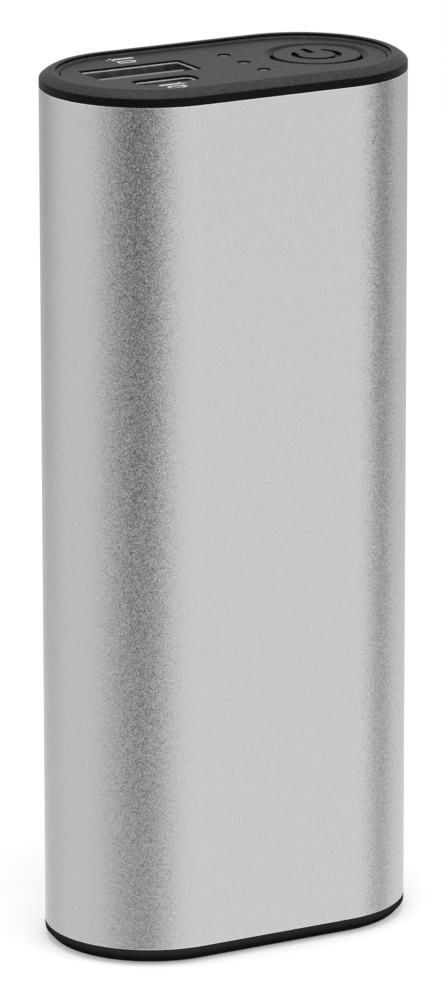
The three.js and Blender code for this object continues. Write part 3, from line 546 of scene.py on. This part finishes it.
button_low, button_high = box_mm("power_button")
flange_overhang = 0.9
button_gap = 0.3
button_x = (button_low.x + button_high.x) / 2
button_radius = (button_high.x - button_low.x) / 2 - flange_overhang

usb_low, usb_high = box_mm("usb_a_shell")
usb_depth = 5.5
usb_cut_corner = 0.25
usb_x = (usb_low.x + usb_high.x) / 2
usb_y = usb_high.y - usb_depth / 2
usb_width = usb_high.x - usb_low.x

micro_low, micro_high = box_mm("micro_usb_shell")
micro_depth = 2.5
micro_corner = 0.8
micro_x = (micro_low.x + micro_high.x) / 2
micro_y = micro_low.y + micro_depth / 2
micro_width = micro_high.x - micro_low.x
floor_gap = 0.2

guide_low, guide_high = box_mm("light_guide")
light_radius = 0.8
light_gap = 0.1
light_x = (guide_low.x + guide_high.x) / 2
light_pitch = 4.65


def cut_socket(piece, width, depth, corner, gap, x, y):
    """Cuts a socket's opening through the cap's floor or the plate."""
    width += 2 * gap
    depth += 2 * gap
    cut_out(piece, upright_slot(width, depth, corner + gap, cutter_foot, face_z + 1, x, y))


def grow_skirt(piece, seam, way, last_rise):
    """Grows the skirt that plugs into the sleeve: upwards where the way is 1, downwards where it is -1. The
    last rise is the skirt's inner wall, from its end to the cap's floor."""
    pick_faces(piece, lambda centre, normal: abs(centre.z - seam) < 0.01 and abs(normal.z) > 0.9)
    step(skirt_inset, 0)
    step(0, way * (skirt_depth - skirt_lead))
    step(skirt_lead, way * skirt_lead)
    step(skirt_inner - skirt_inset - skirt_lead, 0)
    step(0, last_rise)


cap = body_outline("rim_cap", 0, top_seam)
step(0, rim_band)
step(knee_inset, knee_rise - rim_band)
step(crest_inset - knee_inset, rim_rise - knee_rise)
step(rim_inner - crest_inset, 0)
step(0, ledge_rise - rim_rise)
step(pocket_inset - rim_inner, face_rise - ledge_rise)
step(0, -plate_thickness)
grow_skirt(cap, top_seam, -1, skirt_depth + floor_foot - top_seam)
round_off(cap, at_height(crest_z, least_inset=rim_inner - 0.1), 0.08)
round_off(cap, at_height(crest_z, most_inset=crest_inset + 0.1), 0.14)
round_off(cap, at_height(top_seam + rim_band), 0.16)
round_off(cap, at_height(top_seam + knee_rise), 0.2)
bpy.ops.object.mode_set(mode="OBJECT")
for side in (-1, 1):
    boss = upright_rod(boss_radius, floor_foot - boss_depth, pocket_z - cap_floor / 2, 0, side * screw_y)
    cut_out(cap, boss, "UNION")
    cut_out(cap, upright_rod(shank_hole, cutter_foot - boss_depth, cutter_top, 0, side * screw_y))
    cut_out(cap, upright_rod(head_hole, pocket_z - head_room, cutter_top, 0, side * screw_y))
for row in (-1, 0, 1):
    cut_out(cap, upright_rod(light_radius + light_gap, cutter_foot, cutter_top, light_x, row * light_pitch))
cut_out(cap, upright_rod(button_radius + 2 * button_gap, cutter_foot, cutter_top, button_x, 0, 96))
cut_socket(cap, usb_width, usb_depth, usb_cut_corner, floor_gap, usb_x, usb_y)
cut_socket(cap, micro_width, micro_depth, micro_corner, floor_gap, micro_x, micro_y)


def slope_mask(tree, from_z, to_z):
    """A value that changes from 0 to 1 between two slopes, each given by how much the face looks up."""
    facing = tree.nodes.new("ShaderNodeNewGeometry")
    axes = tree.nodes.new("ShaderNodeSeparateXYZ")
    change = tree.nodes.new("ShaderNodeMapRange")
    change.inputs["From Min"].default_value = from_z
    change.inputs["From Max"].default_value = to_z
    tree.links.new(facing.outputs["Normal"], axes.inputs[0])
    tree.links.new(axes.outputs["Z"], change.inputs["Value"])
    return change.outputs["Result"]


# Painted light: the faces that look up are given a lighter colour than the upright walls, as if lit from
# above, over their fine sparked texture
painted_top_light_black = moulded_black.copy()
painted_top_light_black.name = "painted_top_light_black"
painted_top_light = [(0.034, 0.034, 0.0345), (0.070, 0.070, 0.0705)]
top_light_slopes = (0.3, 0.5)
tint_where(painted_top_light_black, slope_mask(painted_top_light_black.node_tree, *top_light_slopes), painted_top_light)
close_piece(cap, painted_top_light_black, "case", ["top_cap"])


# Face plate
# A thin black moulding stuck into the cap's pocket, with a silky even texture. It frames both sockets and
# the lights, and dishes down round the button.
plate_inset = pocket_inset + 0.05
plate_chamfer = 0.1
usb_frame_gap = 0.14
micro_frame_gap = 0.26
button_hole = button_radius + button_gap
dish_width = 0.7
dish_depth = 0.45

silky_black = grained(
    "silky_black",
    colors=[(0.010, 0.010, 0.0102), (0.014, 0.014, 0.0142)],
    roughness=(0.34, 0.40),
    fineness=6000,
    patches=4200,
    tilt=0.07,
    specular=0.22,
)
# Painted shade: the colour is darker in the dish than on the face, and darker still on the walls of the
# cut-outs, where shade falls
painted_dish_shade = [(0.0036, 0.0036, 0.0037), (0.0050, 0.0050, 0.0051)]
painted_wall_shade = [(0.0008, 0.0008, 0.0008), (0.0012, 0.0012, 0.0012)]
dish_shade_slopes = (0.98, 0.88)
wall_shade_slopes = (0.6, 0.3)
tint_where(silky_black, slope_mask(silky_black.node_tree, *dish_shade_slopes), painted_dish_shade)
tint_where(silky_black, slope_mask(silky_black.node_tree, *wall_shade_slopes), painted_wall_shade)

plate = body_outline("face_plate_moulding", plate_inset, pocket_z)
step(0, plate_thickness - plate_chamfer)
step(plate_chamfer, plate_chamfer)
bpy.ops.object.mode_set(mode="OBJECT")
cut_socket(plate, usb_width, usb_depth, usb_cut_corner, usb_frame_gap, usb_x, usb_y)
cut_socket(plate, micro_width, micro_depth, micro_corner, micro_frame_gap, micro_x, micro_y)
cut_out(plate, upright_rod(button_hole, pocket_z - 1, face_z + 1, button_x, 0, 128))
# The cone that cuts the dish goes on for 1 mm above the face
dish_top = button_hole + dish_width * (1 + 1 / dish_depth)
dish = upright_rod(button_hole, face_z - dish_depth, face_z + 1, button_x, 0, 128, dish_top)
cut_out(plate, dish)
for row in (-1, 0, 1):
    cut_out(plate, upright_rod(light_radius, pocket_z - 1, face_z + 1, light_x, row * light_pitch))
bpy.ops.object.mode_set(mode="EDIT")
round_off(plate, at_height(face_z, least_inset=plate_inset + 0.4), 0.06, 2)
close_piece(plate, silky_black, "case", ["face_plate"])


# Printed signs
# White pad print beside each socket: a cell, and an arrow that leaves it beside the wide socket and enters
# it beside the small one. The ink stands 0.02 mm proud.
ink_thickness = 0.02
cell_width = 2.1
cell_depth = 1.15
cell_corner = 0.25
cell_stroke = 0.25
shaft_length = 3.4
shaft_width = 0.42
head_length = 0.9
head_width = 1.3

white_ink = grained(
    "white_ink",
    colors=[(0.80, 0.80, 0.80), (0.88, 0.88, 0.88)],
    roughness=(0.5, 0.6),
    fineness=9000,
    patches=900,
    depth=3,
)


def ink_bar(width, depth, corner, x, y):
    """Adds one straight printed bar on the plate, in mm."""
    return upright_slot(width, depth, corner, face_z, face_z + ink_thickness, x, y, 3)


def ink_head(x, y, way):
    """Adds one printed arrow head with its foot at a place, in mm."""
    head = upright_rod(1, face_z, face_z + ink_thickness, sides=3)
    head.rotation_euler = (0, 0, -pi / 2)
    bpy.ops.object.transform_apply(location=True, rotation=True, scale=True)
    # The triangle in a circle of radius 1 is 1.5 long and the root of 3 wide, and a third lies behind it
    head.scale = (way * head_length / 1.5, head_width / 3 ** 0.5, 1)
    head.location = ((x + way * head_length / 3) * mm, y * mm, 0)
    bpy.ops.object.transform_apply(location=True, rotation=True, scale=True)
    return head


def printed_sign(name, x, y, cell_y, way):
    """Prints an arrow and a cell beside a socket. The way is 1 towards +X and -1 towards -X."""
    sign = rounded_face(name, cell_width, cell_depth, cell_corner, face_z, x - 0.15, cell_y, 4)
    step(cell_stroke, 0)
    bpy.ops.mesh.delete(type="FACE")
    bpy.ops.mesh.select_all(action="SELECT")
    step(0, ink_thickness)
    bpy.ops.object.mode_set(mode="OBJECT")
    cell_tip = ink_bar(0.26, 0.5, 0.05, x + 1.0, cell_y)
    shaft = ink_bar(shaft_length, shaft_width, 0.15, x, y)
    head = ink_head(x + way, y, way)
    bpy.ops.object.select_all(action="DESELECT")
    for part in (sign, cell_tip, shaft, head):
        part.select_set(True)
    bpy.context.view_layer.objects.active = sign
    bpy.ops.object.join()
    close_piece(sign, white_ink, "case", [])


printed_sign("output_sign", -9.0, 8.5, 6.8, -1)
printed_sign("input_sign", -10.6, -6.75, -8.15, 1)


# Power button
# A round black moulding, level with the plate, with the usual mark for on and off sunk into it. A flange
# keeps it under the cap and its stem rests on the switch.
button_top = button_high.z
flange_thickness = 1.0
stem_radius = 1.6
stem_length = 0.6
stem_foot = button_low.z
flange_top = stem_foot + stem_length + flange_thickness
symbol_radius = 2.55
symbol_stroke = 0.8
symbol_depth = 0.35
symbol_bar = 2.5
symbol_opening = 3.45
opening_foot = 0.9
symbol_foot = button_top - symbol_depth

button_black = grained(
    "button_black",
    colors=[(0.0105, 0.0105, 0.0108), (0.0135, 0.0135, 0.0138)],
    roughness=(0.34, 0.40),
    fineness=6000,
    patches=4200,
    tilt=0.05,
    specular=0.22,
)
# Painted shade on the button's upright walls: its side and the walls of the sunk mark
tint_where(button_black, slope_mask(button_black.node_tree, *wall_shade_slopes), painted_wall_shade)

flange_radius = button_radius + flange_overhang
button = upright_rod(flange_radius, flange_top - flange_thickness, flange_top, button_x, 0, 128)
button.name = "push_button"
bpy.ops.object.mode_set(mode="EDIT")
pick_faces(button, lambda centre, normal: normal.z > 0.9)
step(flange_overhang, 0)
step(0, button_top - flange_top)
pick_faces(button, lambda centre, normal: normal.z < -0.9)
step(flange_radius - stem_radius, 0)
step(0, -stem_length)
round_off(button, at_height(button_top), 0.15)
bpy.ops.object.mode_set(mode="OBJECT")
inner = symbol_radius - symbol_stroke / 2
outer = symbol_radius + symbol_stroke / 2
mark = upright_rod(outer, symbol_foot, button_top + 1, button_x, 0, 96)
cut_out(mark, upright_rod(inner, button_top - 2, button_top + 2, button_x, 0, 96))
opening_y = opening_foot + outer / 2
cut_out(mark, upright_slot(symbol_opening, outer, 0.05, button_top - 2, button_top + 2, button_x, opening_y))
cut_out(button, mark)
bar = upright_slot(symbol_stroke, symbol_bar, 0.12, symbol_foot, button_top + 1, button_x, inner, 3)
cut_out(button, bar)
bpy.ops.object.mode_set(mode="EDIT")


def on_mark(point):
    """A test for the points of the sunk mark's edges."""
    return abs(point.z - button_top) < 0.01 and hypot(point.x - button_x, point.y) < outer + 0.2


round_off(button, on_mark, 0.05, 2)
close_piece(button, button_black, "button", ["power_button"])


# Wide output socket
# A pressed and nickel-plated shell with a grey plastic tongue near its front wall and four gilt contacts
# behind the tongue. Spring leaves on the shell's walls hold the plug.
usb_top = usb_high.z
usb_foot = usb_low.z
usb_corner = 0.45
shell_wall = 0.25
tab_width = 1.2
tab_foot = 0.25
tab_top = 1.85
usb_tab_reach = 4.94
leaf_reach = 3.0
leaf_width = 1.7
leaf_thickness = 0.22
leaf_top = usb_top - 1.4
leaf_foot = usb_top - 6.2
# How far a leaf leans in at three heights
leaf_bends = [(usb_top - 3.0, 0.28), (usb_top - 3.8, 0.36), (usb_top - 4.6, 0.28)]
blade_width = 11.1
blade_depth = 1.84

plated_steel = grained(
    "plated_steel",
    colors=[(0.78, 0.78, 0.79), (0.86, 0.86, 0.86)],
    roughness=(0.3, 0.4),
    fineness=9000,
    patches=1400,
    depth=0.4,
    metallic=1.0,
)
# Below their mouths the shells are given a darker colour, for the little light that gets in
in_shell = band_mask(plated_steel.node_tree, usb_top - 0.09, usb_top - 0.18)
tint_where(plated_steel, in_shell, [(0.26, 0.26, 0.26), (0.32, 0.32, 0.32)])

socket_grey = grained(
    "socket_grey",
    colors=[(0.20, 0.20, 0.20), (0.23, 0.23, 0.23)],
    roughness=(0.4, 0.5),
    fineness=7000,
    patches=2400,
    depth=3,
)


def open_tube(name, width, depth, corner, low, high, x, y):
    """Adds a rounded tube with the shells' wall inside its outline and a chamfered mouth."""
    tube = upright_slot(width, depth, corner, low, high, x, y)
    tube.name = name
    bore_width = width - 2 * shell_wall
    bore_depth = depth - 2 * shell_wall
    cut_out(tube, upright_slot(bore_width, bore_depth, corner - shell_wall, low - 1, high + 1, x, y))
    bpy.ops.object.mode_set(mode="EDIT")

    def on_mouth(point):
        beside_x = abs(point.x - x) < (width - shell_wall) / 2
        beside_y = abs(point.y - y) < (depth - shell_wall) / 2
        return beside_x and beside_y and abs(point.z - high) < 0.01

    round_off(tube, on_mouth, shell_wall * 0.3, 2, False)
    bpy.ops.object.mode_set(mode="OBJECT")
    return tube


def add_tabs(shell, foot, depth, x, y, reach):
    """Adds the two soldering tabs at the foot of a shell's wall."""
    for side in (-1, 1):
        tab_x = x + side * reach
        tab = upright_slot(tab_width, depth, 0.05, foot + tab_foot, foot + tab_top, tab_x, y, 2)
        cut_out(shell, tab, "UNION")


usb_shell = open_tube("output_shell", usb_width, usb_depth, usb_corner, usb_foot, usb_top, usb_x, usb_y)
add_tabs(usb_shell, usb_foot, 0.55, usb_x, usb_y - usb_depth / 2 - 0.12, usb_tab_reach)
for side in (-1, 1):
    for wall_side in (-1, 1):
        leaf_x = usb_x + side * leaf_reach
        leaf_y = usb_y + wall_side * 2.42
        leaf = upright_slot(leaf_width, leaf_thickness, 0.05, leaf_foot, leaf_top, leaf_x, leaf_y, 2)
        bpy.ops.object.mode_set(mode="EDIT")
        for level, lean in leaf_bends:
            bpy.ops.mesh.select_all(action="SELECT")
            bpy.ops.mesh.bisect(plane_co=(0, 0, level * mm), plane_no=(0, 0, 1))
            pick_edges(leaf, at_height(level))
            bpy.ops.transform.translate(value=(0, -wall_side * lean * mm, 0))
        bpy.ops.object.mode_set(mode="OBJECT")
        cut_out(usb_shell, leaf, "UNION")
close_piece(usb_shell, plated_steel, "case", ["usb_a_shell"])

usb_tongue = upright_slot(12.25, 4.75, 0.2, usb_foot, usb_foot + 4.1, usb_x, usb_y, 2)
usb_tongue.name = "output_tongue"
blade_top = box_mm("usb_a_tongue")[1].z
blade_y = usb_y - 0.98
blade = upright_slot(blade_width, blade_depth, 0.12, usb_foot + 2, blade_top, usb_x, blade_y, 2)
cut_out(usb_tongue, blade, "UNION")
bpy.ops.object.mode_set(mode="EDIT")
round_off(usb_tongue, at_height(blade_top), 0.12)
close_piece(usb_tongue, socket_grey, "case", ["usb_a_tongue"])


# Small charging socket
# The same steel in a smaller, rounder shell in front of the wide one, with a thin tongue in the middle
# that carries five contacts.
micro_top = micro_high.z
micro_foot = micro_low.z
micro_tab_reach = 2.85
micro_tab_depth = 0.48
blade_width = 3.9
blade_depth = 0.6

micro_outline = (micro_width, micro_depth, micro_corner)
micro_shell = open_tube("charging_shell", *micro_outline, micro_foot, micro_top, micro_x, micro_y)
micro_tab_y = micro_high.y - micro_tab_depth / 2
add_tabs(micro_shell, micro_foot, micro_tab_depth, micro_x, micro_tab_y, micro_tab_reach)
close_piece(micro_shell, plated_steel, "case", ["micro_usb_shell"])

micro_tongue = upright_slot(5.9, 1.75, 0.15, micro_foot, micro_foot + 2.0, micro_x, micro_y, 2)
micro_tongue.name = "charging_tongue"
blade_top = box_mm("micro_usb_tongue")[1].z
blade_foot = micro_foot + 1
blade = upright_slot(blade_width, blade_depth, 0.1, blade_foot, blade_top, micro_x, micro_y, 2)
cut_out(micro_tongue, blade, "UNION")
bpy.ops.object.mode_set(mode="EDIT")
round_off(micro_tongue, at_height(blade_top), 0.1, 2)
close_piece(micro_tongue, socket_grey, "case", ["micro_usb_tongue"])


# Light guide
# One clear moulding whose three domed legs stand in the plate's holes. A bridge under the cap's floor
# joins them over the three small lamps on the button board.
guide_top = guide_high.z
leg_radius = 0.64
bridge_height = 1.2

clear_resin = grained(
    "clear_resin",
    colors=[(0.20, 0.20, 0.20), (0.25, 0.25, 0.25)],
    roughness=(0.22, 0.32),
    fineness=3500,
    patches=900,
    depth=2,
)
clear_resin.node_tree.nodes["Principled BSDF"].inputs["Transmission Weight"].default_value = 0.35

guide_width = guide_high.x - guide_low.x
guide_length = guide_high.y - guide_low.y
guide = upright_slot(guide_width, guide_length, 0.3, floor_foot - bridge_height, floor_foot, light_x, 0, 4)
guide.name = "light_legs"
for row in (-1, 0, 1):
    leg = upright_rod(leg_radius, guide_low.z, guide_top, light_x, row * light_pitch)
    bpy.ops.object.mode_set(mode="EDIT")
    round_off(leg, at_height(guide_top), 0.2, 4)
    bpy.ops.object.mode_set(mode="OBJECT")
    cut_out(guide, leg, "UNION")
close_piece(guide, clear_resin, "case", ["light_guide"])


# Bottom cap and pad
# A second black moulding plugs the lower end. Its lip turns in below the sleeve, and a rubber pad is stuck
# over its two screws.
lip_band = 0.75
lip_turn = 0.22
lip_inset = 0.84
lip_round = 0.12
pad_proud = box_mm("bottom_cap")[0].z
pad_thickness = box_mm("base_pad")[1].z
pad_chamfer = 0.2
base_cutter_foot = pad_thickness - 0.3
tray_foot = box_mm("cell_tray_front")[0].z

base = body_outline("lip_cap", 0, bottom_seam)
step(0, -lip_band)
step(lip_turn, -lip_turn)
step(lip_inset - lip_turn, pad_proud + lip_turn + lip_band - bottom_seam)
step(pocket_inset - lip_inset, 0)
step(0, pad_thickness - pad_proud)
grow_skirt(base, bottom_seam, 1, tray_foot - bottom_seam - skirt_depth)
round_off(base, at_height(bottom_seam - lip_band), lip_round)
round_off(base, at_height(bottom_seam - lip_band - lip_turn), lip_round)
round_off(base, at_height(pad_proud, most_inset=lip_inset + 0.1), 0.2)
bpy.ops.object.mode_set(mode="OBJECT")
for side in (-1, 1):
    cut_out(base, upright_rod(shank_hole, base_cutter_foot, tray_foot + 1, 0, side * screw_y))
    cut_out(base, upright_rod(head_hole, base_cutter_foot, pad_thickness + head_room, 0, side * screw_y))

# The lip is matt, and darker towards its foot: painted shade where it meets the floor
lip_black = grained(
    "lip_black",
    colors=[(0.009, 0.009, 0.0092), (0.013, 0.013, 0.0132)],
    roughness=(0.5, 0.6),
    fineness=6000,
    patches=4600,
    tilt=0.1,
    specular=0.0,
)
above_foot_shade = band_mask(lip_black.node_tree, bottom_seam - 0.9, bottom_seam - 0.2)
tint_where(lip_black, above_foot_shade, [(0.024, 0.024, 0.0243), (0.034, 0.034, 0.0343)])
close_piece(base, lip_black, "case", ["bottom_cap"])

pad_rubber = grained(
    "pad_rubber",
    colors=[(0.012, 0.012, 0.012), (0.018, 0.018, 0.018)],
    roughness=(0.7, 0.85),
    fineness=2600,
    patches=300,
    depth=30,
    specular=0.3,
)
pad = body_outline("rubber_foot", plate_inset, pad_thickness)
step(0, pad_chamfer - pad_thickness)
step(pad_chamfer, -pad_chamfer)
close_piece(pad, pad_rubber, "case", ["base_pad"])


# Inside
# Two cells in a two-part tray, the boards with their parts, film heaters on foam, leads and screws. Nothing
# here shows when the warmer is closed, and each keeps its own finish.
def dress(material, *names):
    """Gives CAD nodes one finish."""
    for name in names:
        nodes[name].data.materials.clear()
        nodes[name].data.materials.append(material)


def plain_finish(name, color, roughness, metallic=0.0, depth=4):
    """A finish for an inner piece, with a slight change of tone over its face."""
    darker = tuple(channel * 0.88 for channel in color)
    spread = (roughness * 0.9, min(roughness * 1.1, 1))
    return grained(name, [darker, color], spread, fineness=3200, patches=350, depth=depth, metallic=metallic)


screw_steel = plain_finish("screw_steel", (0.42, 0.42, 0.43), 0.35, 1.0)
dress(screw_steel, "top_screw_front", "top_screw_rear", "bottom_screw_front", "bottom_screw_rear")
dress(plain_finish("tray_plastic", (0.68, 0.67, 0.63), 0.55, depth=10), "cell_tray_front", "cell_tray_rear")
dress(plain_finish("cell_wrap", (0.03, 0.16, 0.40), 0.3), "battery_cell_left", "battery_cell_right")
insulator_paper = plain_finish("insulator_paper", (0.80, 0.78, 0.70), 0.85, depth=12)
dress(insulator_paper, "cell_insulator_left", "cell_insulator_right")
nickel = plain_finish("nickel", (0.60, 0.58, 0.54), 0.28, 1.0)
dress(nickel, "cell_terminal_left", "cell_terminal_right", "nickel_strip_top", "nickel_strip_bottom")
dress(plain_finish("switch_cover_steel", (0.58, 0.58, 0.58), 0.3, 1.0), "switch_cover")
can_finish = plain_finish("capacitor_can", (0.56, 0.57, 0.58), 0.3, 1.0)
dress(can_finish, "output_capacitor_1", "output_capacitor_2")
dress(plain_finish("circuit_board", (0.01, 0.11, 0.05), 0.38), "main_board", "button_board")
chip_plastic = plain_finish("chip_plastic", (0.012, 0.012, 0.013), 0.5, depth=8)
dress(chip_plastic, "boost_chip", "charger_chip", "heater_transistor", "switch_body", "switch_plunger")
dress(plain_finish("ferrite", (0.07, 0.068, 0.066), 0.7, depth=12), "power_inductor")
led_package = plain_finish("led_package", (0.80, 0.79, 0.70), 0.3)
dress(led_package, "indicator_led_1", "indicator_led_2", "indicator_led_3")
dress(plain_finish("heater_film", (0.45, 0.17, 0.03), 0.35), "heater_film_front", "heater_film_rear")
dress(plain_finish("foam", (0.09, 0.095, 0.10), 0.95, depth=60), "foam_pad_front", "foam_pad_rear")
dress(plain_finish("red_lead", (0.45, 0.02, 0.022), 0.5), "battery_lead_positive")
dress(plain_finish("black_lead", (0.012, 0.012, 0.012), 0.5), "battery_lead_negative")
white_lead = plain_finish("white_lead", (0.75, 0.75, 0.73), 0.5)
dress(white_lead, "heater_lead_front", "heater_lead_rear", "thermistor_lead")
dress(plain_finish("sensor_glass", (0.26, 0.10, 0.025), 0.2), "thermistor")
contact_gold = plain_finish("contact_gold", (0.83, 0.60, 0.25), 0.25, 1.0)
dress(contact_gold, *[f"usb_a_contact_{number}" for number in range(1, 5)])
dress(contact_gold, *[f"micro_usb_contact_{number}" for number in range(1, 6)])
